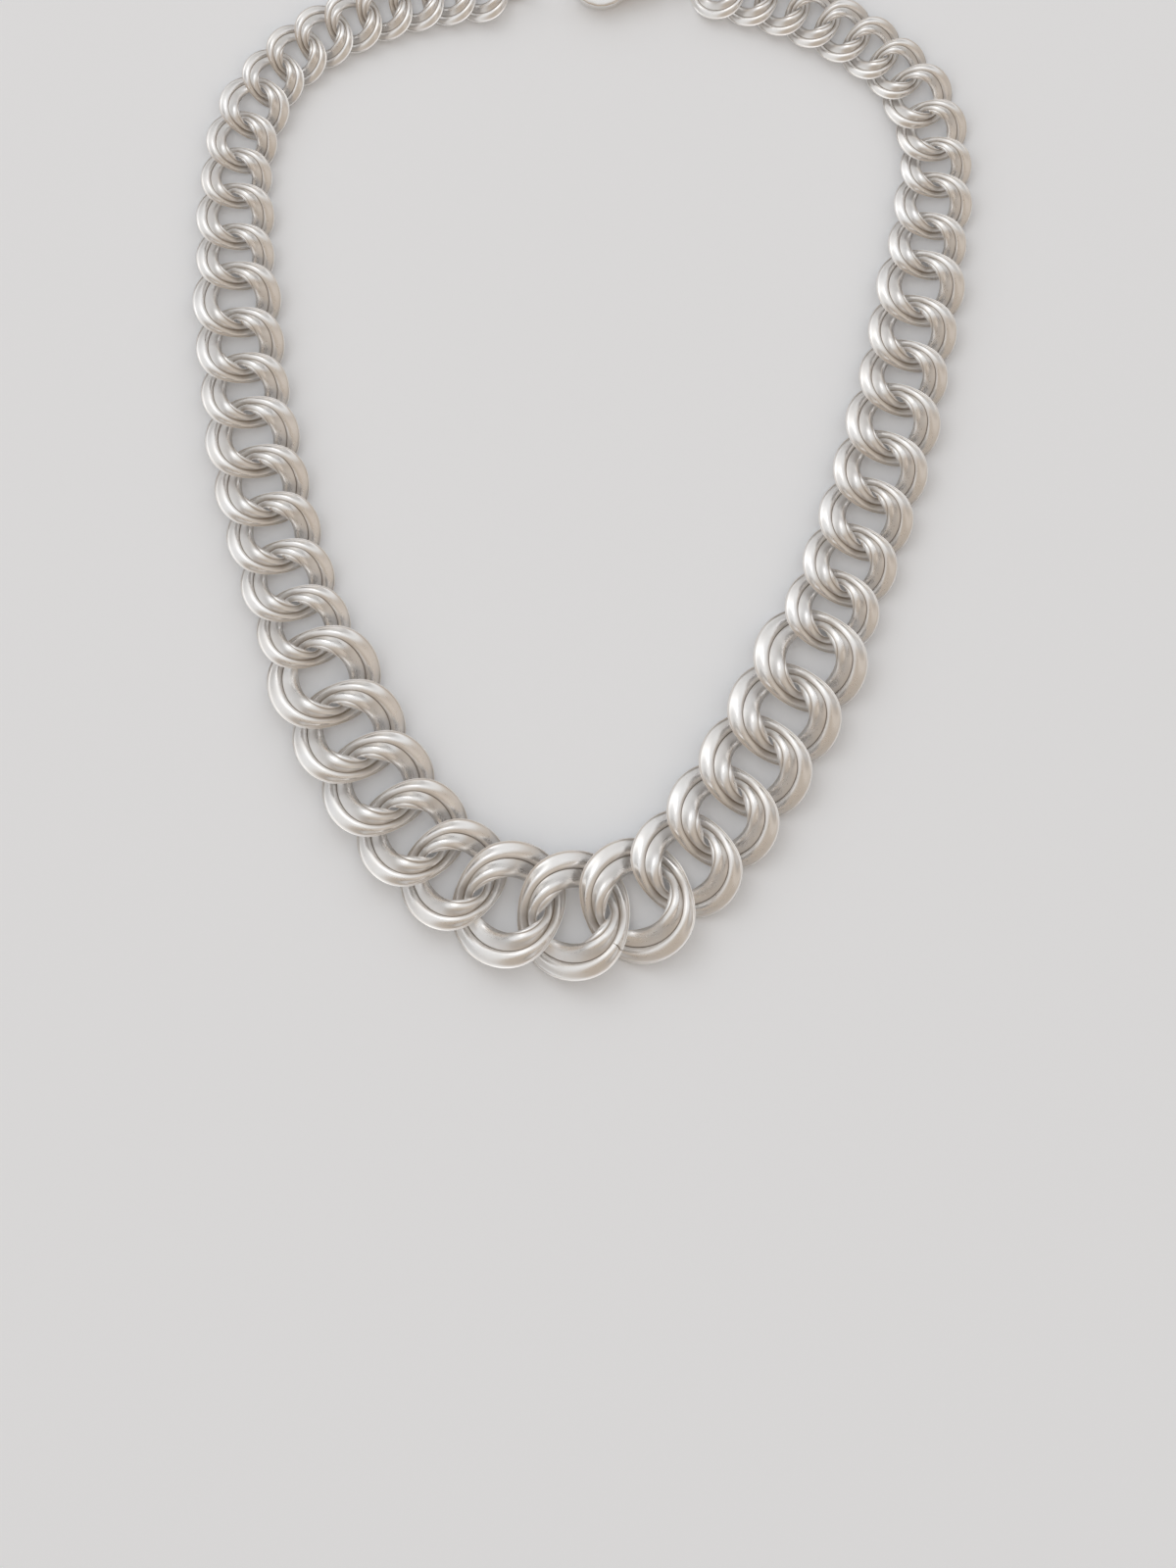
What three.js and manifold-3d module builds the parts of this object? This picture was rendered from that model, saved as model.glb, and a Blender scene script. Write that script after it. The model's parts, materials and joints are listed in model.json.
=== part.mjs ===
// Graduated curb chain necklace with a lobster clasp, laid flat and unhooked on a table.
// Millimetres, +Z up. The chain's underside rests on z = 0 and the biggest link is at -Y.
import * as THREE from "three";
import Module from "manifold-3d";

const wasm = await Module();
wasm.setup();

// Sizes of the links, from the middle of the necklace outwards: how many, and how far each reaches.
const centrePitch = 11.2;
const armSteps = [
  { links: 1, pitch: 11.0 },
  { links: 5, pitch: 9.9 },
  { links: 5, pitch: 8.15 },
  { links: 3, pitch: 7.6 },
  { links: 2, pitch: 6.7 },
  { links: 3, pitch: 6.1 },
];
const tailPitch = 5.5; // the small links behind the neck
const rightTailLinks = 7;
const leftTailLinks = 8;

// The line each arm lies in, outwards from the middle link: arcs, each a share of the arm's length
// and a turn in degrees. The last arc runs on past the arm's end.
const rightArcs = [
  { share: 0.11, turn: 51 },
  { share: 0.13, turn: 11 },
  { share: 0.31, turn: 16 },
  { share: 0.17, turn: 5 },
  { share: 0.12, turn: 62 },
  { share: 0.2, turn: 34 },
];
const leftArcs = [
  { share: 0.1364, turn: 50 },
  { share: 0.1169, turn: 14 },
  { share: 0.2922, turn: 19 },
  { share: 0.1704, turn: 10 },
  { share: 0.1266, turn: 55 },
  { share: 0.1948, turn: 40 },
];

// One link, as shares of its pitch.
const curb = {
  endReach: 0.698, // centre line, from the middle to an end
  sideReach: 0.692, // centre line, from the middle to a side
  rise: 0.226, // how far the centre line swings up and down
  sideBand: 0.576, // band width on the sides
  endBand: 0.374, // band width round the ends
  bandThickness: 0.096,
  endTurn: 45.5, // degrees the band turns on edge at the ends
  bandTaper: 1.5,
  turnTaper: 1.95,
  planedDepth: 0.345, // middle of the link to its planed underside
};
const grooveDepth = 0.22; // of the band's thickness, between the two ribs
const ribCrest = 0.27; // of the band's width, from its middle to a rib's crest
const bigLinkSteps = 20;
const smallLinkSteps = 14;
const smallLinkPitch = 7;

// Band section, across (outwards) and up, as shares of its width and thickness.
const bandSection = [
  [-0.5, -0.5],
  [0.5, -0.5],
  [0.5, 0],
  [ribCrest, 0.5],
  [0, 0.5 - grooveDepth],
  [-ribCrest, 0.5],
  [-0.5, 0],
];

const radians = THREE.MathUtils.degToRad;

function manifoldOf(vertices, triangles) {
  return new wasm.Manifold(
    new wasm.Mesh({
      numProp: 3,
      vertProperties: new Float32Array(vertices),
      triVerts: new Uint32Array(triangles),
    }),
  );
}

function geometryOf(solid) {
  const mesh = solid.getMesh();
  const geometry = new THREE.BufferGeometry();
  geometry.setAttribute("position", new THREE.BufferAttribute(mesh.vertProperties, 3));
  geometry.setIndex(new THREE.BufferAttribute(mesh.triVerts, 1));
  const flat = geometry.toNonIndexed();
  flat.computeVertexNormals();
  return flat;
}

// Closed ring of sections: sectionAt(angle) gives one section's corners.
function ringSolid(steps, sectionAt) {
  const vertices = [];
  const triangles = [];
  let corners = 0;
  for (let i = 0; i < steps; i += 1) {
    const section = sectionAt((2 * Math.PI * i) / steps);
    corners = section.length;
    for (const corner of section) vertices.push(corner.x, corner.y, corner.z);
  }
  for (let i = 0; i < steps; i += 1) {
    const here = i * corners;
    const next = ((i + 1) % steps) * corners;
    for (let k = 0; k < corners; k += 1) {
      const l = (k + 1) % corners;
      triangles.push(here + k, next + l, here + l);
      triangles.push(here + k, next + k, next + l);
    }
  }
  return manifoldOf(vertices, triangles);
}

// Direction of the centre line, its outward direction and its upward one at an angle round the link.
function linkFrame(angle) {
  const along = new THREE.Vector3(
    -curb.endReach * Math.sin(angle),
    curb.sideReach * Math.cos(angle),
    -2 * curb.rise * Math.cos(2 * angle),
  ).normalize();
  const outward = new THREE.Vector3(along.y, -along.x, 0).normalize();
  const upward = outward.clone().cross(along);
  return { outward, upward };
}

// The band swings over one neighbour and under the other, and stands half on edge at the ends.
function curbLink(pitch) {
  const steps = pitch < smallLinkPitch ? smallLinkSteps : bigLinkSteps;
  const sectionAt = (angle) => {
    const { outward, upward } = linkFrame(angle);
    const centre = new THREE.Vector3(
      curb.endReach * Math.cos(angle),
      curb.sideReach * Math.sin(angle),
      -curb.rise * Math.sin(2 * angle),
    );
    const side = Math.abs(Math.sin(angle)) ** curb.bandTaper;
    const width = curb.endBand + (curb.sideBand - curb.endBand) * side;
    const turn = radians(curb.endTurn) * Math.abs(Math.cos(angle)) ** curb.turnTaper;
    const across = outward.clone().multiplyScalar(Math.cos(turn));
    across.addScaledVector(upward, -Math.sin(turn));
    const face = outward.clone().multiplyScalar(Math.sin(turn));
    face.addScaledVector(upward, Math.cos(turn));
    return bandSection.map(([u, v]) =>
      centre
        .clone()
        .addScaledVector(across, u * width)
        .addScaledVector(face, v * curb.bandThickness)
        .multiplyScalar(pitch),
    );
  };
  const ring = ringSolid(steps, sectionAt);
  return ring.trimByPlane([0, 0, 1], -curb.planedDepth * pitch);
}

// Heading of an arm, in degrees, at a share of its length.
function headingAt(arcs, share) {
  let heading = 0;
  let left = share;
  for (const arc of arcs) {
    const used = Math.min(left, arc.share);
    heading += (arc.turn * used) / arc.share;
    left -= used;
  }
  return heading;
}

// Where each link of an arm lies; side is 1 for the right arm and -1 for the left.
function layArm(arcs, tailLinks, side) {
  const steps = [...armSteps, { links: tailLinks, pitch: tailPitch }];
  const start = centrePitch / 2;
  const length = steps.reduce((sum, step) => sum + step.links * step.pitch, start);
  const links = [];
  let x = start;
  let y = 0;
  let distance = start;
  for (const step of steps) {
    for (let i = 0; i < step.links; i += 1) {
      const heading = radians(headingAt(arcs, (distance + step.pitch / 2) / length));
      const dx = step.pitch * Math.cos(heading);
      const dy = step.pitch * Math.sin(heading);
      const place = { pitch: step.pitch, x: side * (x + dx / 2), y: y + dy / 2 };
      links.push({ ...place, turn: side * heading });
      x += dx;
      y += dy;
      distance += step.pitch;
    }
  }
  return { links, end: { x: side * x, y } };
}

function placedLink(place) {
  return curbLink(place.pitch)
    .rotate([0, 0, THREE.MathUtils.radToDeg(place.turn)])
    .translate([place.x, place.y, curb.planedDepth * place.pitch]);
}

const rightArm = layArm(rightArcs, rightTailLinks, 1);
const leftArm = layArm(leftArcs, leftTailLinks, -1);

// Clasp sizes, in its own frame: x from the tail eye's middle towards the hook, z up from the table.
const ring = { bend: 3.2, wire: 0.5, steps: 18, sides: 8, tilt: 68 };
const linkPlay = 0.3; // an end link's joint to the ring's inner side
const eyePlay = 1.15; // wire to the edge of the claw's tail eye, for a ring that leans through it
const runningGap = 0.15;
const pinGap = 0.07;
const claw = {
  eyeBand: 0.85,
  eyeThickness: 1.1,
  eyeInset: 1.25, // the ring's bend to the tail eye's middle, along the clasp
  eyeSide: 0.5,
  thickness: 3.6,
  neckStart: 1.4,
  neckHalf: 1.6,
  bodyStart: 2.5,
  bodyEnd: 9.6,
  bodyHalf: 3.0,
  hookMiddle: 12.4,
  hookInner: 3.3,
  hookBand: 1.8,
  hookStart: 150, // degrees round the hook, from the body over the top to the tip
  hookTip: -62,
  slotStart: 3.6,
  slotTop: 1.5,
  slotGap: 1.3,
};
const lever = {
  pivotX: 6.2,
  pivotY: -1.0,
  eye: 1.25,
  hole: 0.62,
  tipGap: 0.35,
  thumbReach: 3.7,
};
const rivetSink = 0.1;
const spring = { thickness: 0.3, reach: 4.4, wallGap: 0.12, edgeGap: 0.2 };

const ringHeight = ring.bend * Math.sin(radians(ring.tilt)) + ring.wire;
const ringReach = ring.bend - ring.wire - linkPlay;
const eyeHole = ring.wire + eyePlay;
const eyeAlong = ring.bend - claw.eyeInset;
const eyeAcross = -(ringHeight - claw.thickness / 2) / Math.tan(radians(ring.tilt)) - claw.eyeSide;
const leverThickness = claw.slotGap - 2 * runningGap;

function circlePath(x, y, radius, sides) {
  const points = [];
  for (let i = 0; i < sides; i += 1) {
    const angle = (2 * Math.PI * i) / sides;
    points.push([x + radius * Math.cos(angle), y + radius * Math.sin(angle)]);
  }
  return points;
}

function plate(outline, low, high) {
  const section = new wasm.CrossSection([outline]);
  return section.extrude(high - low).translate([0, 0, low]);
}

// Band between two radii, from one angle down to another.
function arcPath(x, y, inner, outer, startDegrees, endDegrees, steps) {
  const outerSide = [];
  const innerSide = [];
  for (let i = 0; i <= steps; i += 1) {
    const angle = radians(endDegrees + ((startDegrees - endDegrees) * i) / steps);
    outerSide.push([x + outer * Math.cos(angle), y + outer * Math.sin(angle)]);
    innerSide.unshift([x + inner * Math.cos(angle), y + inner * Math.sin(angle)]);
  }
  return [...outerSide, ...innerSide];
}

// Round wire ring, leaning over about x, its middle at the origin.
function wireRing() {
  const sectionAt = (angle) => {
    const section = [];
    for (let k = 0; k < ring.sides; k += 1) {
      const around = (2 * Math.PI * k) / ring.sides;
      const radius = ring.bend + ring.wire * Math.cos(around);
      const z = ring.wire * Math.sin(around);
      section.push(new THREE.Vector3(radius * Math.cos(angle), radius * Math.sin(angle), z));
    }
    return section;
  };
  const solid = ringSolid(ring.steps, sectionAt);
  return solid.rotate([ring.tilt, 0, 0]).translate([0, 0, ringHeight]);
}

function clawBody() {
  const top = claw.thickness;
  const middle = top / 2;
  const eyeLow = middle - claw.eyeThickness / 2;
  const eyeHigh = middle + claw.eyeThickness / 2;
  const half = claw.bodyHalf;
  const eye = plate(circlePath(0, 0, eyeHole + claw.eyeBand, 14), eyeLow, eyeHigh);
  const neck = plate(
    [
      [claw.neckStart, -0.75 * claw.neckHalf],
      [claw.slotStart, -claw.neckHalf],
      [claw.slotStart, claw.neckHalf],
      [claw.neckStart, 0.75 * claw.neckHalf],
    ],
    eyeLow,
    eyeHigh,
  );
  const body = plate(
    [
      [claw.bodyStart, -1.4],
      [claw.bodyStart + 1.5, -0.83 * half],
      [lever.pivotX, -half],
      [claw.bodyEnd - 1, -0.77 * half],
      [claw.bodyEnd - 0.6, -0.2 * half],
      [claw.bodyEnd, 0.6 * half],
      [claw.bodyEnd, 1.33 * half],
      [claw.bodyEnd - 1.6, 1.2 * half],
      [lever.pivotX - 1, half],
      [claw.bodyStart + 0.9, 0.77 * half],
      [claw.bodyStart, 1.4],
    ],
    0,
    top,
  );
  const outer = claw.hookInner + claw.hookBand;
  const { hookMiddle, hookInner, hookStart, hookTip } = claw;
  const hook = plate(arcPath(hookMiddle, 0, hookInner, outer, hookStart, hookTip, 12), 0, top);
  const slot = plate(
    [
      [claw.slotStart, -half - 2],
      [claw.bodyEnd + 0.4, -half - 2],
      [claw.bodyEnd + 0.4, claw.slotTop],
      [claw.slotStart, claw.slotTop],
    ],
    middle - claw.slotGap / 2,
    middle + claw.slotGap / 2,
  );
  const hole = plate(circlePath(0, 0, eyeHole, 12), 0, top);
  const rivetHole = plate(circlePath(lever.pivotX, lever.pivotY, lever.hole, 10), -1, top + 1);
  const inside = plate(circlePath(hookMiddle, 0, hookInner, 20), -1, top + 1);
  const solid = eye.add(neck).add(body).add(hook);
  return solid.subtract(inside).subtract(slot).subtract(hole).subtract(rivetHole);
}

function clawLever() {
  const low = (claw.thickness - leverThickness) / 2;
  const high = low + leverThickness;
  const { pivotX, pivotY, thumbReach } = lever;
  const tipAngle = radians(claw.hookTip);
  const tipX = claw.hookMiddle + (claw.hookInner - lever.tipGap) * Math.cos(tipAngle);
  const tipY = (claw.hookInner - lever.tipGap) * Math.sin(tipAngle);
  const eye = plate(circlePath(pivotX, pivotY, lever.eye, 12), low, high);
  const arm = plate(
    [
      [pivotX - 0.6, pivotY - 1],
      [pivotX + 1.6, pivotY - 2.3],
      [tipX - 2.2, tipY - 0.75],
      [tipX, tipY - 0.35],
      [tipX + 0.1, tipY + 0.55],
      [tipX - 2.4, tipY + 0.5],
      [pivotX + 1, pivotY + 0.3],
    ],
    low,
    high,
  );
  const thumb = plate(
    [
      [pivotX - 0.9, pivotY - 0.7],
      [pivotX - 1.2, pivotY - thumbReach + 0.3],
      [pivotX - 0.3, pivotY - thumbReach],
      [pivotX + 1.4, pivotY - 1.8],
    ],
    low,
    high,
  );
  const hole = plate(circlePath(pivotX, pivotY, lever.hole, 10), -1, high + 1);
  return eye.add(arm).add(thumb).subtract(hole);
}

function clawRivet() {
  const path = circlePath(lever.pivotX, lever.pivotY, lever.hole - pinGap, 10);
  return plate(path, rivetSink, claw.thickness - rivetSink);
}

// Bent leaf in the slot above the lever's eye.
function leverSpring() {
  const low = (claw.thickness - claw.slotGap) / 2 + spring.edgeGap;
  const high = low + claw.slotGap - 2 * spring.edgeGap;
  const t = spring.thickness;
  const left = claw.slotStart + spring.wallGap;
  const top = claw.slotTop - spring.wallGap;
  const right = left + spring.reach;
  return plate(
    [
      [right, top],
      [left + 0.2, top],
      [left, top - 0.2],
      [left + 0.1, top - 0.4],
      [left + 2.9, top - 0.6 - t],
      [left + 3, top - 0.6],
      [left + 0.6, top - t],
      [right, top - t],
    ],
    low,
    high,
  );
}

const necklace = new THREE.Group();

function addPiece(name, solid, shade, roughness) {
  const look = { color: shade, metalness: 1, roughness };
  const mesh = new THREE.Mesh(geometryOf(solid), new THREE.MeshStandardMaterial(look));
  mesh.name = name;
  necklace.add(mesh);
}

const linkShade = 0xd9d5cf;
const claspShade = 0xcfccc8;
const springShade = 0x9a9da0;

function addArm(prefix, arm) {
  arm.links.forEach((place, i) => {
    addPiece(prefix + "_" + String(i + 1).padStart(2, "0"), placedLink(place), linkShade, 0.35);
  });
}

addPiece("link_centre", placedLink({ pitch: centrePitch, x: 0, y: 0, turn: 0 }), linkShade, 0.35);
addArm("link_right", rightArm);
addArm("link_left", leftArm);

// A ring leans through each arm's last link, and the clasp lies in the line between the rings.
const rightOut = rightArm.links.at(-1).turn;
const leftOut = leftArm.links.at(-1).turn + Math.PI;

function along(point, turn, reach) {
  return { x: point.x + reach * Math.cos(turn), y: point.y + reach * Math.sin(turn) };
}

function laid(solid, point, turn) {
  return solid.rotate([0, 0, THREE.MathUtils.radToDeg(turn)]).translate([point.x, point.y, 0]);
}

const jumpMiddle = along(rightArm.end, rightOut, ringReach);
const endMiddle = along(leftArm.end, leftOut, ringReach);
const claspTurn = Math.atan2(endMiddle.y - jumpMiddle.y, endMiddle.x - jumpMiddle.x);
const clawEye = along(
  along(jumpMiddle, claspTurn, eyeAlong),
  claspTurn + Math.PI / 2,
  eyeAcross,
);

addPiece("clasp_jump_ring", laid(wireRing(), jumpMiddle, rightOut), claspShade, 0.3);
addPiece("clasp_claw", laid(clawBody(), clawEye, claspTurn), claspShade, 0.3);
addPiece("clasp_lever", laid(clawLever(), clawEye, claspTurn), claspShade, 0.3);
addPiece("clasp_rivet", laid(clawRivet(), clawEye, claspTurn), claspShade, 0.25);
addPiece("clasp_spring", laid(leverSpring(), clawEye, claspTurn), springShade, 0.4);
addPiece("clasp_end_ring", laid(wireRing(), endMiddle, leftOut), claspShade, 0.3);

// The origin is on the table, under the middle of the whole piece.
const middle = new THREE.Box3().setFromObject(necklace).getCenter(new THREE.Vector3());
necklace.position.set(-middle.x, -middle.y, 0);

export default necklace;
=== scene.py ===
import json
import math

import bmesh
import bpy
from mathutils import Matrix, Vector

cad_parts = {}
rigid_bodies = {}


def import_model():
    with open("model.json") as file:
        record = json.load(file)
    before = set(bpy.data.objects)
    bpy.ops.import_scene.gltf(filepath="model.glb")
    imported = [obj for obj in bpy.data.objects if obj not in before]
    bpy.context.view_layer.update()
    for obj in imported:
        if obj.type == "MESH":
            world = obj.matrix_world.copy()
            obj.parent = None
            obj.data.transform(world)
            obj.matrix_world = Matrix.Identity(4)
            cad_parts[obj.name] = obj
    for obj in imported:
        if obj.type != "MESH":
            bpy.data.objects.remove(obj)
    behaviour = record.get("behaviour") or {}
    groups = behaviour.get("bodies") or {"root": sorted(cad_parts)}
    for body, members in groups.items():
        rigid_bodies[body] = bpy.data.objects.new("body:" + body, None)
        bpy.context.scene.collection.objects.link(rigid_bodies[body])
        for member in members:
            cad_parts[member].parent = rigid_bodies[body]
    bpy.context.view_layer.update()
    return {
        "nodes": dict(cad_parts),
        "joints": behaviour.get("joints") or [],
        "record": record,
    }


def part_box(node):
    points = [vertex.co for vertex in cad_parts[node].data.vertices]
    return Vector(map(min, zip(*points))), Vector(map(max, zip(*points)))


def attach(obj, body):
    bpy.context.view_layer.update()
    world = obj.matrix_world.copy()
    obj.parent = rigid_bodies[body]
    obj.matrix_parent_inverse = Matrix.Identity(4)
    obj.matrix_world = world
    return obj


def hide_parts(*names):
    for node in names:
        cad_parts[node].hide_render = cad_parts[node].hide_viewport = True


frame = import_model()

mm = 0.001
bodies = frame["record"]["behaviour"]["bodies"]
bodyOf = {node: body for body, members in bodies.items() for node in members}
jointTo = {joint["child"]: joint for joint in frame["joints"]}
print("frame loaded with", len(frame["nodes"]), "pieces")


# a shader node, placed on a grid so that the tree reads from left to right
def addNode(tree, kind, place, **settings):
    node = tree.nodes.new(kind)
    node.location = (place[0] * 200, place[1] * -180)
    for name, value in settings.items():
        setattr(node, name, value)
    return node


def addMath(tree, operation, place, first, second, clamp=False):
    node = addNode(tree, "ShaderNodeMath", place, operation=operation, use_clamp=clamp)
    for socket, value in zip(node.inputs, (first, second)):
        if isinstance(value, (int, float)):
            socket.default_value = value
        else:
            tree.links.new(value, socket)
    return node.outputs[0]


def addMix(tree, place, factor, first, second):
    node = addNode(tree, "ShaderNodeMix", place, data_type="RGBA")
    sockets = (node.inputs[0], node.inputs[6], node.inputs[7])
    for socket, value in zip(sockets, (factor, first, second)):
        if isinstance(value, (int, float, tuple)):
            socket.default_value = value
        else:
            tree.links.new(value, socket)
    return node.outputs[2]


def newGroup(name, inputs, outputs):
    group = bpy.data.node_groups.new(name, "ShaderNodeTree")
    for socketName, kind, value in inputs:
        socket = group.interface.new_socket(socketName, in_out="INPUT", socket_type=kind)
        if value is not None:
            socket.default_value = value
    for socketName, kind in outputs:
        group.interface.new_socket(socketName, in_out="OUTPUT", socket_type=kind)
    ins = addNode(group, "NodeGroupInput", (-6, 0)).outputs
    outs = addNode(group, "NodeGroupOutput", (6, 0)).inputs
    return group, ins, outs


def useGroup(tree, group, place, **values):
    node = addNode(tree, "ShaderNodeGroup", place, node_tree=group)
    for name, value in values.items():
        socket = node.inputs[name]
        if isinstance(value, bpy.types.NodeSocket):
            tree.links.new(value, socket)
        else:
            socket.default_value = value
    return node.outputs


# painted shade that darkens the hollows, over a slow drift of tone in the metal
def makeDriftAndShade():
    group, ins, outs = newGroup(
        "toneDriftAndHollowShade",
        [
            ("Vector", "NodeSocketVector", None),
            ("Hollow", "NodeSocketFloat", 0.0),
            ("Clean", "NodeSocketColor", (0.85, 0.84, 0.82, 1)),
            ("Warm", "NodeSocketColor", (0.75, 0.7, 0.62, 1)),
            ("Dark", "NodeSocketColor", (0.15, 0.12, 0.1, 1)),
            ("Drift", "NodeSocketFloat", 0.5),
            ("Scale", "NodeSocketFloat", 300.0),
        ],
        [("Colour", "NodeSocketColor"), ("Dirt", "NodeSocketFloat")],
    )
    link = group.links.new
    cloud = addNode(group, "ShaderNodeTexNoise", (-4, 1), noise_dimensions="3D")
    cloud.inputs["Detail"].default_value = 3
    link(ins["Vector"], cloud.inputs["Vector"])
    link(ins["Scale"], cloud.inputs["Scale"])
    spread = addNode(group, "ShaderNodeMapRange", (-3, 1))
    spread.inputs["From Min"].default_value = 0.35
    spread.inputs["From Max"].default_value = 0.68
    link(cloud.outputs["Fac"], spread.inputs["Value"])
    drift = addMath(group, "MULTIPLY", (-2, 1), spread.outputs[0], ins["Drift"])
    tone = addMix(group, (-1, 1), drift, ins["Clean"], ins["Warm"])
    ragged = addMath(group, "MULTIPLY_ADD", (-2, 3), cloud.outputs["Fac"], 0.5)
    ragged.node.inputs[2].default_value = 0.7
    # painted shade: the Hollow mask, with a ragged edge, mixes the tone towards the Dark colour
    shadeMask = addMath(group, "MULTIPLY", (-1, 3), ins["Hollow"], ragged, clamp=True)
    colour = addMix(group, (1, 2), shadeMask, tone, ins["Dark"])
    link(colour, outs["Colour"])
    link(shadeMask, outs["Dirt"])
    return group


# fine polishing lines, stretched along the second and third coordinates
def makePolishLines():
    group, ins, outs = newGroup(
        "polishLines",
        [
            ("Vector", "NodeSocketVector", None),
            ("Scale", "NodeSocketFloat", 9.0),
            ("Smooth", "NodeSocketFloat", 0.2),
            ("Rough", "NodeSocketFloat", 0.34),
            ("Dirt", "NodeSocketFloat", 0.0),
        ],
        [("Roughness", "NodeSocketFloat"), ("Height", "NodeSocketFloat")],
    )
    link = group.links.new
    lines = addNode(group, "ShaderNodeTexNoise", (-4, 0), noise_dimensions="3D")
    lines.inputs["Detail"].default_value = 4
    lines.inputs["Roughness"].default_value = 0.62
    link(ins["Vector"], lines.inputs["Vector"])
    link(ins["Scale"], lines.inputs["Scale"])
    patches = addNode(group, "ShaderNodeTexNoise", (-4, 2), noise_dimensions="3D")
    patches.inputs["Detail"].default_value = 2
    patchScale = addMath(group, "MULTIPLY", (-5, 2), ins["Scale"], 0.13)
    link(ins["Vector"], patches.inputs["Vector"])
    link(patchScale, patches.inputs["Scale"])
    both = addMath(group, "ADD", (-3, 1), lines.outputs["Fac"], patches.outputs["Fac"])
    share = addNode(group, "ShaderNodeMapRange", (-2, 1))
    share.inputs["From Min"].default_value = 0.72
    share.inputs["From Max"].default_value = 1.28
    link(both, share.inputs["Value"])
    link(ins["Smooth"], share.inputs["To Min"])
    link(ins["Rough"], share.inputs["To Max"])
    # roughness also rises where the hollows get painted shade
    dull = addMath(group, "MULTIPLY_ADD", (0, 1), ins["Dirt"], 0.3)
    link(share.outputs[0], dull.node.inputs[2])
    link(dull, outs["Roughness"])
    link(lines.outputs["Fac"], outs["Height"])
    return group


# tiny dings and nicks from wear, as a height
def makeNicks():
    group, ins, outs = newGroup(
        "wearNicks",
        [
            ("Vector", "NodeSocketVector", None),
            ("Scale", "NodeSocketFloat", 900.0),
            ("Share", "NodeSocketFloat", 0.1),
        ],
        [("Height", "NodeSocketFloat")],
    )
    link = group.links.new
    cells = addNode(group, "ShaderNodeTexVoronoi", (-3, 0), feature="F1")
    link(ins["Vector"], cells.inputs["Vector"])
    link(ins["Scale"], cells.inputs["Scale"])
    pit = addNode(group, "ShaderNodeMapRange", (-1, 0))
    pit.inputs["From Min"].default_value = 0.0
    link(cells.outputs["Distance"], pit.inputs["Value"])
    link(ins["Share"], pit.inputs["From Max"])
    link(pit.outputs[0], outs["Height"])
    return group


driftAndShade = makeDriftAndShade()
polishLines = makePolishLines()
wearNicks = makeNicks()


def startMaterial(name):
    material = bpy.data.materials.new(name)
    material.use_nodes = True
    tree = material.node_tree
    shader = tree.nodes["Principled BSDF"]
    shader.location = (1400, 0)
    tree.nodes["Material Output"].location = (1700, 0)
    return material, tree, shader


def addBump(tree, place, height, strength, distance, under=None):
    bump = addNode(tree, "ShaderNodeBump", place)
    bump.inputs["Strength"].default_value = strength
    bump.inputs["Distance"].default_value = distance
    tree.links.new(height, bump.inputs["Height"])
    if under is not None:
        tree.links.new(under, bump.inputs["Normal"])
    return bump.outputs[0]


silverLook = {
    "clean": (0.93, 0.915, 0.9, 1),
    "warm": (0.83, 0.775, 0.715, 1),
    # colour that the painted shade in the hollows darkens towards
    "dark": (0.42, 0.355, 0.29, 1),
    "drift": 0.38,
    "smooth": 0.29,
    "rough": 0.46,
    "driftScale": 190.0,
    "lineScale": 6.0,
    "lineDepth": 0.012 * mm,
    "lineStrength": 0.35,
    "nickScale": 620.0,
    "nickShare": 0.09,
    "nickDepth": 0.03 * mm,
    "nickStrength": 0.5,
    "crestShine": 0.07,
}
# polished metal of the clasp and its rings, and the spring's steel
claspLook = {
    "clean": (0.87, 0.855, 0.835, 1),
    "warm": (0.78, 0.74, 0.69, 1),
    "smooth": 0.1,
    "rough": 0.22,
}
springLook = {
    "clean": (0.62, 0.61, 0.6, 1),
    "warm": (0.5, 0.47, 0.43, 1),
    "smooth": 0.2,
    "rough": 0.36,
}
handPolish = {
    "drift": 0.35,
    "driftScale": 420.0,
    "lineScale": 2600.0,
    "lineDepth": 0.008 * mm,
    "lineStrength": 0.3,
    "nickScale": 900.0,
    "nickShare": 0.1,
    "nickDepth": 0.02 * mm,
    "nickStrength": 0.4,
    "flatPointiness": 0.49,
    "hollowPointiness": 0.43,
}


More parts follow.
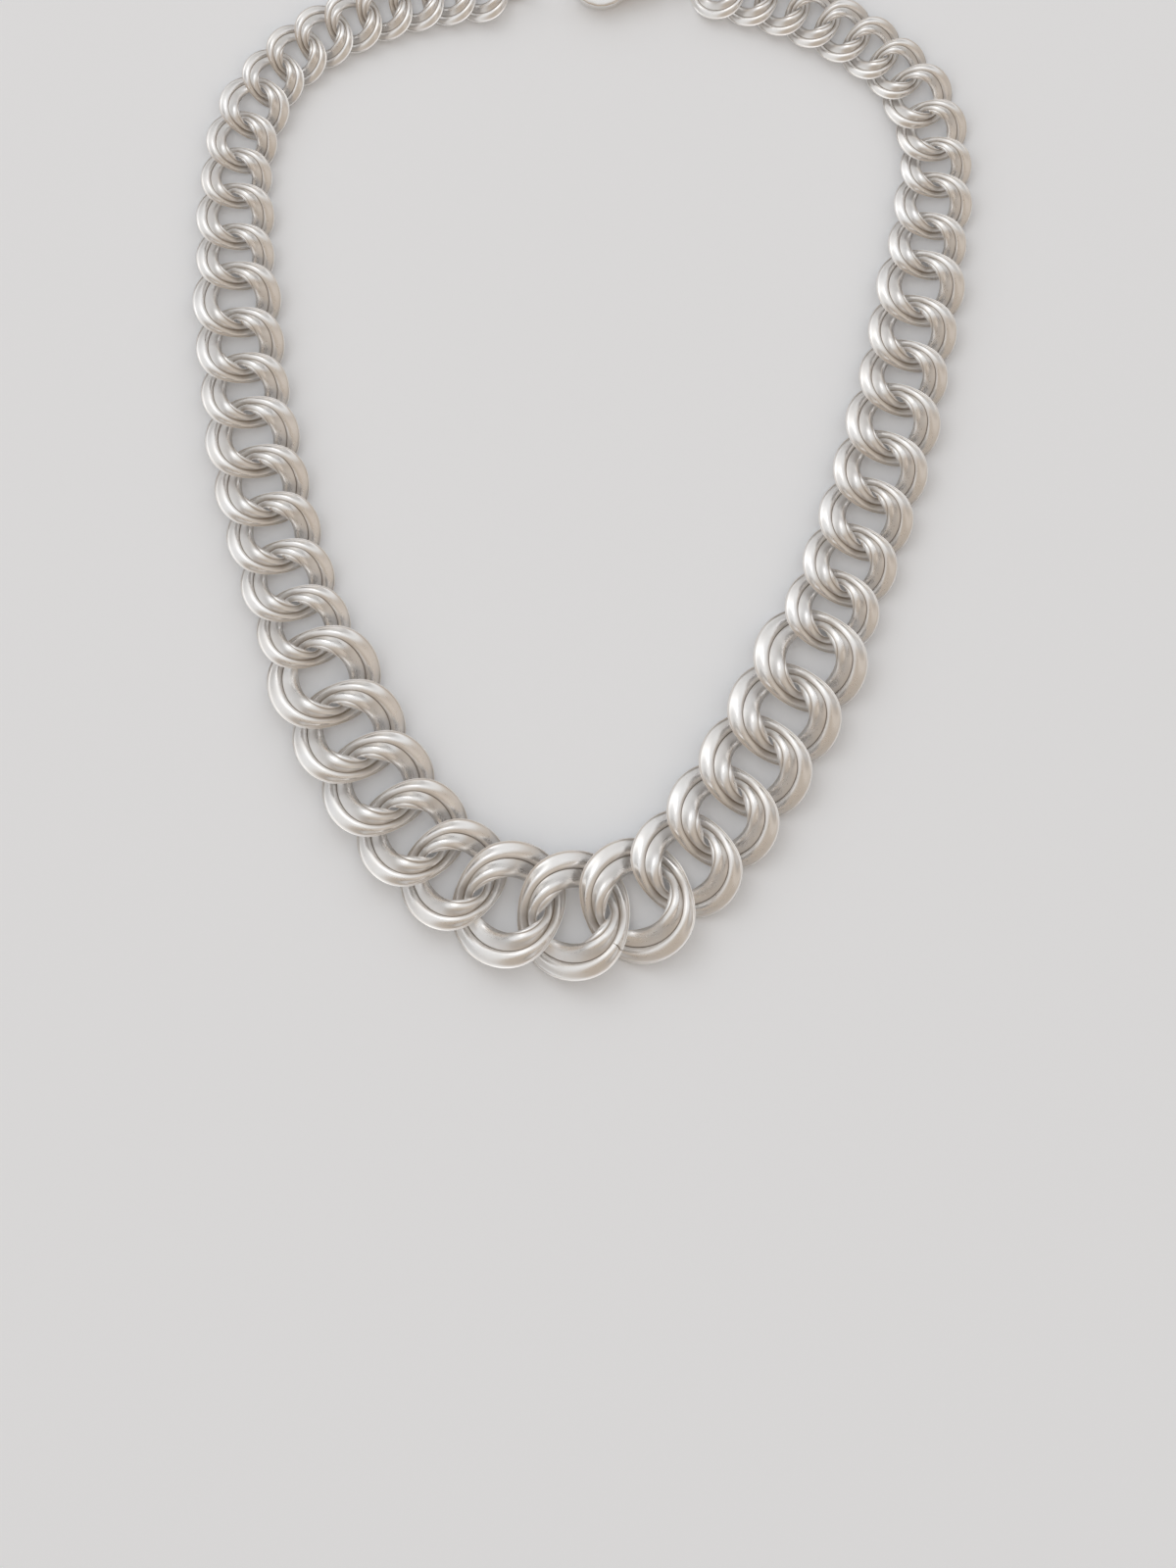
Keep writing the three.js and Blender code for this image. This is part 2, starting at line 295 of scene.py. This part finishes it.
# satin silver of the links: lines run along each band, painted shade sits between the ribs
def makeLinkSilver():
    material, tree, shader = startMaterial("linkSilver")
    band = addNode(tree, "ShaderNodeAttribute", (-3, 0), attribute_name="bandCoords")
    # ribHollow says how much painted shade each corner gets
    hollow = addNode(tree, "ShaderNodeAttribute", (-3, 2), attribute_name="ribHollow")
    crest = addNode(tree, "ShaderNodeAttribute", (-3, 4), attribute_name="ribCrest")
    spot = addNode(tree, "ShaderNodeTexCoord", (-3, 6))
    colour = useGroup(
        tree, driftAndShade, (0, 1), Vector=spot.outputs["Object"], Hollow=hollow.outputs["Fac"],
        Clean=silverLook["clean"], Warm=silverLook["warm"], Dark=silverLook["dark"],
        Drift=silverLook["drift"], Scale=silverLook["driftScale"],
    )
    lines = useGroup(
        tree, polishLines, (2, 2), Vector=band.outputs["Vector"], Scale=silverLook["lineScale"],
        Smooth=silverLook["smooth"], Rough=silverLook["rough"], Dirt=colour["Dirt"],
    )
    nicks = useGroup(
        tree, wearNicks, (2, 4), Vector=spot.outputs["Object"], Scale=silverLook["nickScale"],
        Share=silverLook["nickShare"],
    )
    worn = addMath(tree, "MULTIPLY", (3, 3), crest.outputs["Fac"], silverLook["crestShine"])
    rough = addMath(tree, "SUBTRACT", (4, 2), lines["Roughness"], worn, clamp=True)
    fine = addBump(
        tree, (4, 3), lines["Height"], silverLook["lineStrength"], silverLook["lineDepth"]
    )
    normal = addBump(
        tree, (5, 4), nicks["Height"], silverLook["nickStrength"], silverLook["nickDepth"], fine
    )
    shader.inputs["Metallic"].default_value = 1.0
    tree.links.new(colour["Colour"], shader.inputs["Base Color"])
    tree.links.new(rough, shader.inputs["Roughness"])
    tree.links.new(normal, shader.inputs["Normal"])
    return material


# hand polished metal, with painted shade in its hollows
def makePolished(name, look):
    material, tree, shader = startMaterial(name)
    spot = addNode(tree, "ShaderNodeTexCoord", (-3, 0))
    shape = addNode(tree, "ShaderNodeNewGeometry", (-3, 2))
    # concave places, found by pointiness, get painted shade
    hollow = addNode(tree, "ShaderNodeMapRange", (-2, 2))
    hollow.inputs["From Min"].default_value = handPolish["flatPointiness"]
    hollow.inputs["From Max"].default_value = handPolish["hollowPointiness"]
    tree.links.new(shape.outputs["Pointiness"], hollow.inputs["Value"])
    colour = useGroup(
        tree, driftAndShade, (0, 1), Vector=spot.outputs["Object"], Hollow=hollow.outputs[0],
        Clean=look["clean"], Warm=look["warm"], Dark=silverLook["dark"],
        Drift=handPolish["drift"], Scale=handPolish["driftScale"],
    )
    lines = useGroup(
        tree, polishLines, (2, 2), Vector=spot.outputs["Object"], Scale=handPolish["lineScale"],
        Smooth=look["smooth"], Rough=look["rough"], Dirt=colour["Dirt"],
    )
    nicks = useGroup(
        tree, wearNicks, (2, 4), Vector=spot.outputs["Object"], Scale=handPolish["nickScale"],
        Share=handPolish["nickShare"],
    )
    fine = addBump(
        tree, (4, 3), lines["Height"], handPolish["lineStrength"], handPolish["lineDepth"]
    )
    normal = addBump(
        tree, (5, 4), nicks["Height"], handPolish["nickStrength"], handPolish["nickDepth"], fine
    )
    shader.inputs["Metallic"].default_value = 1.0
    tree.links.new(colour["Colour"], shader.inputs["Base Color"])
    tree.links.new(lines["Roughness"], shader.inputs["Roughness"])
    tree.links.new(normal, shader.inputs["Normal"])
    return material


linkSilver = makeLinkSilver()
claspSilver = makePolished("claspSilver", claspLook)
springSteel = makePolished("springSteel", springLook)
print("silver and steel made")


# one link, as shares of its pitch, the same as the solid it stands for
curb = {
    "endReach": 0.698,
    "sideReach": 0.692,
    "rise": 0.226,
    "sideBand": 0.576,
    "endBand": 0.374,
    "bandThickness": 0.096,
    "endTurn": 45.5,
    "bandTaper": 1.5,
    "turnTaper": 1.95,
    "planedDepth": 0.345,
    "planedTop": 0.327,
}
# the rim and two ribs of the band, across and up, as shares of its width and thickness;
# Side values hold at a link's sides and End values at its ends, where the ribs are flutes:
# foot is the groove's height, full the roundness, lean the crest's shift inwards,
# line how thin the painted shade line in the groove is, and dark how dark that painted shade is
ribs = {
    "rimOut": 0.488,
    "rimTop": 0.12,
    "rimWall": 0.12,
    "rimRound": 0.02,
    "rimFoot": 0.05,
    "cove": 0.04,
    "outerMiddle": 0.225,
    "outerHalf": 0.205,
    "grooveDepth": 0.2,
    "grooveStep": 0.008,
    "innerMiddle": -0.238,
    "innerHalf": 0.242,
    "footSide": 0.02,
    "footEnd": -0.24,
    "crest": 0.48,
    "fullSide": 0.6,
    "fullEnd": 1.8,
    "lineSide": 24,
    "lineEnd": 1.3,
    "darkSide": 0.6,
    "leanSide": 1.8,
    "leanEnd": 1.2,
    "sideFade": 1.6,
    "innerFoot": -0.18,
    "innerLow": -0.46,
    "steps": 8,
}
# the third rib, which swells from the inner edge where the band climbs over its neighbour:
# sizes are shares of the pitch, places are degrees round the link
lobe = {
    "least": 0.003,
    "reach": 0.105,
    "peak": 153,
    "before": 46,
    "after": 32,
    "swellBefore": 1.3,
    "swellAfter": 2.0,
    "bulge": 0.028,
    "droop": 0.04,
    "thick": 0.04,
    "skew": 0.85,
    "roundness": 0.7,
    "foldShade": 0.6,
    "under": 0.8,
    "byRing": 0.45,
    "byStep": 0.6,
    "stepShare": 0.03,
    "corners": (0.14, 0.34, 0.56, 0.78, 0.94),
}
# the one soldered seam in sight, a fine cut over the outer rib: degrees, and shares of the pitch
# and of the band's width
seam = {"link": "link_centre", "angle": 326, "half": 0.9, "depth": 0.018, "from": 0.02}


# height of a rib over its foot: it rises slowly from its outer side and falls steeply inside
def ribLift(turn, full, lean):
    share = (1 - math.cos(turn)) / 2
    return abs(math.sin(math.pi * share ** lean)) ** full


# corners of the band's section, outer edge first: across, up, painted shade, crest;
# the ribs are broad and round at the sides of a link, and sharpen into flutes towards its ends
def bandSection(angle):
    side = abs(math.sin(angle)) ** ribs["sideFade"]
    full = ribs["fullEnd"] + (ribs["fullSide"] - ribs["fullEnd"]) * side
    lean = ribs["leanEnd"] + (ribs["leanSide"] - ribs["leanEnd"]) * side
    line = ribs["lineEnd"] + (ribs["lineSide"] - ribs["lineEnd"]) * side
    dark = 1 + (ribs["darkSide"] - 1) * side
    low = ribs["footEnd"] + (ribs["footSide"] - ribs["footEnd"]) * side
    rimOut, rimTop, steps = ribs["rimOut"], ribs["rimTop"], ribs["steps"]
    # the groove, the cove and the rib feet get painted shade, deeper and wider towards the link's
    # ends
    points = [
        (rimOut, -0.5, 0, 0),
        (rimOut, rimTop - ribs["rimWall"], 0.05, 0.4),
        (rimOut - ribs["rimRound"], rimTop, 0, 1),
        (rimOut - ribs["rimFoot"], ribs["cove"], 0.5 * (1 - side) + 0.2, 0),
    ]
    for i in range(1, steps + 1):  # outer rib, up from the cove and down into the groove
        turn = math.pi * i / steps
        lift = ribLift(turn, full, lean)
        across = ribs["outerMiddle"] + ribs["outerHalf"] * math.cos(turn)
        up = low + (ribs["crest"] - low) * lift
        points.append((across, up, dark * max(0, -math.cos(turn)) ** line, lift))
    groove = ribs["outerMiddle"] - ribs["outerHalf"] - ribs["grooveStep"]
    points.append((groove, low - ribs["grooveDepth"], dark, 0))
    for i in range(steps + 1):  # inner rib, from the groove down to the inner edge
        turn = math.pi * i / steps
        lift = ribLift(turn, full, lean)
        foot = low if turn < math.pi / 2 else ribs["innerFoot"]
        across = ribs["innerMiddle"] + ribs["innerHalf"] * math.cos(turn)
        up = foot + (ribs["crest"] - foot) * lift
        points.append((across, up, dark * abs(math.cos(turn)) ** line, lift))
    return points


# how far the third rib reaches in at an angle round the link; both halves of a link are alike
def lobeReach(angle):
    past = math.degrees(angle) % 180 - lobe["peak"]
    if past < lobe["after"] - 180:
        past += 180
    side = "after" if past > 0 else "before"
    share = abs(past) / lobe[side]
    swell = math.cos(math.pi / 2 * share) ** lobe["swell" + side.title()] if share < 1 else 0
    return lobe["least"] + (lobe["reach"] - lobe["least"]) * swell


# corners of the third rib, on from the inner edge and back under it
def lobeSection(angle, edge, low, outward, lobeShare):
    reach = lobeReach(angle) * lobeShare
    size = reach / lobe["reach"]
    points = []
    for share in lobe["corners"]:
        arch = math.sin(math.pi * share ** lobe["skew"]) ** lobe["roundness"]
        bulge = lobe["bulge"] * size * arch
        drop = lobe["droop"] * size * share ** 2
        point = edge - outward * reach * share + Vector((0, 0, bulge - drop))
        points.append((point, lobe["foldShade"] * (1 - share) ** 4, math.sin(math.pi * share)))
    tipDrop = (lobe["droop"] + lobe["thick"] / 2) * size
    underDrop = (lobe["droop"] + lobe["thick"]) * size
    tip = edge - outward * reach + Vector((0, 0, -tipDrop))
    under = edge - outward * reach * lobe["under"] + Vector((0, 0, -underDrop))
    points += [(tip, 0, 0.3), (under, 0, 0), (low - outward * lobe["least"], 0, 0)]
    return points


# where the band's middle runs and how it lies there, for a pitch of 1
def bandFrame(angle):
    along = Vector((
        -curb["endReach"] * math.sin(angle),
        curb["sideReach"] * math.cos(angle),
        -2 * curb["rise"] * math.cos(2 * angle),
    )).normalized()
    outward = Vector((along.y, -along.x, 0)).normalized()
    upward = outward.cross(along)
    turn = math.radians(curb["endTurn"]) * abs(math.cos(angle)) ** curb["turnTaper"]
    across = outward * math.cos(turn) - upward * math.sin(turn)
    face = outward * math.sin(turn) + upward * math.cos(turn)
    centre = Vector((
        curb["endReach"] * math.cos(angle),
        curb["sideReach"] * math.sin(angle),
        -curb["rise"] * math.sin(2 * angle),
    ))
    side = abs(math.sin(angle)) ** curb["bandTaper"]
    width = curb["endBand"] + (curb["sideBand"] - curb["endBand"]) * side
    return centre, across, face, width, outward


sharpEdge = 48  # degrees between faces that meet in a sharp edge


# a closed ring of sections as a mesh, with its attributes by vertex
def meshFromSections(name, sections, attributes):
    count, corners = len(sections), len(sections[0])
    points = [point for section in sections for point in section]
    faces = []
    for i in range(count):
        here, after = i * corners, (i + 1) % count * corners
        for k in range(corners):
            beside = (k + 1) % corners
            faces.append((here + k, here + beside, after + beside, after + k))
    mesh = bpy.data.meshes.new(name)
    mesh.from_pydata(points, [], faces)
    for title, (kind, values) in attributes.items():
        layer = mesh.attributes.new(title, kind, "POINT")
        field = "vector" if kind == "FLOAT_VECTOR" else "value"
        flat = [x for v in values for x in v] if kind == "FLOAT_VECTOR" else values
        layer.data.foreach_set(field, flat)
    work = bmesh.new()
    work.from_mesh(mesh)
    bmesh.ops.recalc_face_normals(work, faces=work.faces)
    work.to_mesh(mesh)
    work.free()
    mesh.shade_smooth()
    mesh.set_sharp_from_angle(angle=math.radians(sharpEdge))
    return mesh


# places round a link where it has a section; a soldered seam gets its own, close together
def linkAngles(steps, seamed):
    angles = [2 * math.pi * i / steps for i in range(steps)]
    if not seamed:
        return angles
    middle, half = math.radians(seam["angle"]), math.radians(seam["half"])
    near = [middle + half * share for share in (-2.5, -1, 0, 1, 2.5)]
    return sorted([a for a in angles if abs(a - middle) > 3 * half] + near)


# one link; it lies on its planed underside, and its top is planed too
def linkMesh(name, pitch, steps, middle, heading, seamed, lobeShare):
    turn = Matrix.Rotation(heading, 3, "Z")
    thickness = curb["bandThickness"]
    sections, coords, hollows, crests = [], [], [], []
    for angle in linkAngles(steps, seamed):
        centre, across, face, width, outward = bandFrame(angle)
        cut = seamed and abs(angle - math.radians(seam["angle"])) < 1e-6
        corners = [
            (centre + across * u * width + face * v * thickness, hollow, crest)
            for u, v, hollow, crest in bandSection(angle)
        ]
        low = centre + across * ribs["innerLow"] * width - face * thickness / 2
        corners += lobeSection(angle, corners[-1][0], low, outward, lobeShare)
        ring = []
        for corner, hollow, crest in corners:
            # inside the seam's cut the corners get full painted shade
            if cut and (corner - centre).dot(across) > seam["from"] * width:
                corner, hollow = corner - (face + across) * seam["depth"], 1
            planed = min(max(corner.z, -curb["planedDepth"]), curb["planedTop"])
            point = Vector((corner.x, corner.y, planed + curb["planedDepth"])) * pitch
            ring.append((turn @ point + middle).to_tuple())
            reach = (corner - centre).dot(across) * pitch / mm
            coords.append((reach, math.cos(angle), math.sin(angle)))
            hollows.append(hollow)
            crests.append(crest)
        sections.append(ring)
    # ribHollow carries each corner's painted shade, ribCrest its place on a crest
    attributes = {
        "bandCoords": ("FLOAT_VECTOR", coords),
        "ribHollow": ("FLOAT", hollows),
        "ribCrest": ("FLOAT", crests),
    }
    return meshFromSections(name, sections, attributes)


def addPiece(name, mesh, material, node):
    piece = bpy.data.objects.new(name, mesh)
    bpy.context.scene.collection.objects.link(piece)
    mesh.materials.clear()
    mesh.materials.append(material)
    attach(piece, bodyOf[node])
    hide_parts(node)
    return piece


def middleOf(node):
    low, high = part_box(node)
    return Vector(((low.x + high.x) / 2, (low.y + high.y) / 2, 0))


def flatPoint(joint):
    return Vector((joint["pos_m"][0], joint["pos_m"][1], 0))


# middle, heading and pitch of a link: half its pitch lies between its middle and its joint
def linkPlace(node):
    middle = middleOf(node)
    joint = jointTo.get(bodyOf[node])
    if joint is None:
        ends = [flatPoint(j) for j in frame["joints"] if j["parent"] == bodyOf[node]]
        arm = (ends[0] - ends[1]) / 2
    else:
        arm = flatPoint(joint) - middle
    return middle, math.atan2(arm.y, arm.x), 2 * arm.length


# sections round a link, by the pitch it is over
linkSteps = [(9.0 * mm, 76), (7.0 * mm, 60), (0, 48)]
linkNodes = sorted(node for node in frame["nodes"] if node.startswith("link_"))
places = {node: linkPlace(node) for node in linkNodes}
lastLinks = {
    "clasp_jump_ring": bodies["right_link_26"][0],
    "clasp_end_ring": bodies["left_link_27"][0],
}


# share of the full third rib: less beside a ring, and where the next link is of another size
def lobeShareOf(node):
    if node in lastLinks.values():
        return lobe["byRing"]
    pitch = places[node][2]
    for joint in frame["joints"]:
        pair = [bodies[joint[side]][0] for side in ("parent", "child")]
        if node in pair and all(other in places for other in pair):
            step = abs(places[pair[0]][2] - places[pair[1]][2])
            if step > lobe["stepShare"] * pitch:
                return lobe["byStep"]
    return 1


for node in linkNodes:
    middle, heading, pitch = places[node]
    steps = next(count for least, count in linkSteps if pitch > least)
    seamed = node == seam["link"]
    mesh = linkMesh("curb_" + node, pitch, steps, middle, heading, seamed, lobeShareOf(node))
    addPiece("curb_" + node, mesh, linkSilver, node)
print("links made:", len(linkNodes))


# a clasp piece is its solid with every edge rounded off by hand polishing
claspPieces = {
    "clasp_claw": {"cell": 0.14, "rounds": 40, "material": claspSilver, "slot": "clasp_silver"},
    "clasp_lever": {"cell": 0.08, "rounds": 16, "material": claspSilver, "slot": "clasp_silver"},
    "clasp_rivet": {"cell": 0.05, "rounds": 3, "material": claspSilver, "slot": "clasp_silver"},
    "clasp_spring": {"cell": 0.04, "rounds": 2, "material": springSteel, "slot": "spring_steel"},
}
weldReach = 0.0005 * mm  # corners closer than this are one
polishPull = 0.5


def bakeModifiers(piece):
    graph = bpy.context.evaluated_depsgraph_get()
    mesh = bpy.data.meshes.new_from_object(piece.evaluated_get(graph))
    piece.modifiers.clear()
    piece.data = mesh


def polishedCopy(node, look):
    mesh = frame["nodes"][node].data.copy()
    mesh.name = "polished_" + node
    work = bmesh.new()
    work.from_mesh(mesh)
    bmesh.ops.remove_doubles(work, verts=work.verts, dist=weldReach)
    work.to_mesh(mesh)
    work.free()
    piece = addPiece("polished_" + node, mesh, look["material"], node)
    remesh = piece.modifiers.new("cells", "REMESH")
    remesh.mode = "VOXEL"
    remesh.voxel_size = look["cell"] * mm
    smooth = piece.modifiers.new("polish", "SMOOTH")
    smooth.factor = polishPull
    smooth.iterations = look["rounds"]
    bakeModifiers(piece)
    piece.data.shade_smooth()


for node, look in claspPieces.items():
    polishedCopy(node, look)
print("clasp made")


# sizes in millimetres, tilt and seam in degrees, the cuts beside the seam in radians
wireRing = {
    "bend": 3.2,
    "wire": 0.46,
    "lift": 0.5,
    "tilt": 68,
    "steps": 72,
    "sides": 18,
    "seam": 100,
    "seamDepth": 0.07,
    "seamClear": 0.045,
    "seamNear": (-0.03, -0.008, 0, 0.008, 0.03),
}


# a jump ring: round wire, closed at a butt joint that shows as a fine cut
def ringMesh(name, middle, heading):
    bend, wire = wireRing["bend"] * mm, wireRing["wire"] * mm
    tilt = math.radians(wireRing["tilt"])
    place = Matrix.Rotation(heading, 3, "Z") @ Matrix.Rotation(tilt, 3, "X")
    lift = Vector((0, 0, bend * math.sin(tilt) + wireRing["lift"] * mm))
    butt = math.radians(wireRing["seam"])
    nearButt = [butt + past for past in wireRing["seamNear"]]
    angles = [2 * math.pi * i / wireRing["steps"] for i in range(wireRing["steps"])]
    angles = sorted([a for a in angles if abs(a - butt) > wireRing["seamClear"]] + nearButt)
    sections = []
    for angle in angles:
        cut = wireRing["seamDepth"] * mm if abs(angle - butt) < 0.001 else 0
        section = []
        for k in range(wireRing["sides"]):
            around = 2 * math.pi * k / wireRing["sides"]
            reach = bend + (wire - cut) * math.cos(around)
            up = (wire - cut) * math.sin(around)
            point = Vector((reach * math.cos(angle), reach * math.sin(angle), up))
            section.append((place @ point + lift + middle).to_tuple())
        sections.append(section)
    return meshFromSections(name, sections, {})


# each ring leans away from the arm whose last link it hangs in
for node, lastLink in lastLinks.items():
    _, heading, _ = places[lastLink]
    mesh = ringMesh("wire_" + node, middleOf(node), heading + math.pi)
    addPiece("wire_" + node, mesh, claspSilver, node)
print("rings made")


# floor, light and camera
studio = {
    "floorColour": (0.93, 0.945, 0.97, 1),
    "floorHalf": 3.0,
    "floorDrop": 0.02 * mm,
    "floorRoughness": 0.7,
    "floorShine": 0.2,
    "roomWindow": (0.85, 0.86, 0.87, 1),
    "roomFar": (0.5, 0.435, 0.37, 1),
    "roomLow": (0.22, 0.205, 0.19, 1),
    "window": (-0.45, 0.89, 0),
    "windowEdge": (-0.4, 0.2),
    "floorEdge": (0.0, 0.4),
}


def makeFloor():
    mesh = bpy.data.meshes.new("floor")
    half, low = studio["floorHalf"], -studio["floorDrop"]
    corners = [(-half, -half, low), (half, -half, low), (half, half, low), (-half, half, low)]
    mesh.from_pydata(corners, [], [(0, 1, 2, 3)])
    floor = bpy.data.objects.new("floor", mesh)
    bpy.context.scene.collection.objects.link(floor)
    material, tree, shader = startMaterial("paleCard")
    shader.inputs["Base Color"].default_value = studio["floorColour"]
    shader.inputs["Roughness"].default_value = studio["floorRoughness"]
    shader.inputs["Specular IOR Level"].default_value = studio["floorShine"]
    mesh.materials.append(material)


# a room that is white on its window side, tan on the far side and dim near the floor
def makeWorld():
    world = bpy.data.worlds.new("studio")
    bpy.context.scene.world = world
    world.use_nodes = True
    tree = world.node_tree
    room = tree.nodes["Background"]
    direction = addNode(tree, "ShaderNodeTexCoord", (-6, 0))
    toWindow = addNode(tree, "ShaderNodeVectorMath", (-5, 0), operation="DOT_PRODUCT")
    toWindow.inputs[1].default_value = studio["window"]
    tree.links.new(direction.outputs["Generated"], toWindow.inputs[0])
    split = addNode(tree, "ShaderNodeSeparateXYZ", (-5, 2))
    tree.links.new(direction.outputs["Generated"], split.inputs[0])
    sources = ((toWindow.outputs["Value"], "windowEdge"), (split.outputs["Z"], "floorEdge"))
    shares = []
    for row, (source, edge) in enumerate(sources):
        share = addNode(tree, "ShaderNodeMapRange", (-4, 2 * row), interpolation_type="SMOOTHSTEP")
        share.inputs["From Min"].default_value = studio[edge][0]
        share.inputs["From Max"].default_value = studio[edge][1]
        tree.links.new(source, share.inputs["Value"])
        shares.append(share.outputs[0])
    walls = addMix(tree, (-2, 0), shares[0], studio["roomFar"], studio["roomWindow"])
    colour = addMix(tree, (-1, 1), shares[1], studio["roomLow"], walls)
    tree.links.new(colour, room.inputs["Color"])
    room.inputs["Strength"].default_value = 1.0


softboxes = {
    "keyBox": {
        "place": (-0.5, 0.8, 1.0), "size": (0.9, 0.7), "power": 1.7, "colour": (1.0, 0.99, 0.98),
    },
    "fillBox": {
        "place": (0.8, -0.6, 0.7), "size": (0.8, 0.8), "power": 0.3, "colour": (0.97, 0.98, 1.0),
    },
}


# a rectangular lamp that faces the middle of the necklace
def addSoftbox(name, look):
    lamp = bpy.data.lights.new(name, "AREA")
    lamp.shape = "RECTANGLE"
    lamp.size, lamp.size_y = look["size"]
    lamp.energy = look["power"]
    lamp.color = look["colour"]
    holder = bpy.data.objects.new(name, lamp)
    holder.location = look["place"]
    holder.rotation_euler = (-Vector(look["place"])).to_track_quat("-Z", "Y").to_euler()
    bpy.context.scene.collection.objects.link(holder)


makeFloor()
makeWorld()
for name, look in softboxes.items():
    addSoftbox(name, look)

# straight down, from a point beside the centre link
view = {
    "width": 195.6 * mm,
    "right": 2.4 * mm,
    "up": 21.8 * mm,
    "away": 0.75,
    "shape": 4 / 3,
    "sensor": 36,
    "nearest": 0.01,
}
camera = bpy.data.cameras.new("camera")
cameraHolder = bpy.data.objects.new("camera", camera)
bpy.context.scene.collection.objects.link(cameraHolder)
aim = middleOf("link_centre") + Vector((view["right"], view["up"], 0))
cameraHolder.location = aim + Vector((0, 0, view["away"]))
camera.sensor_width = view["sensor"]
camera.lens = camera.sensor_width * view["away"] / (view["width"] * view["shape"])
camera.clip_start = view["nearest"]
bpy.context.scene.camera = cameraHolder
bpy.context.scene.view_settings.view_transform = "Standard"
print("studio made")
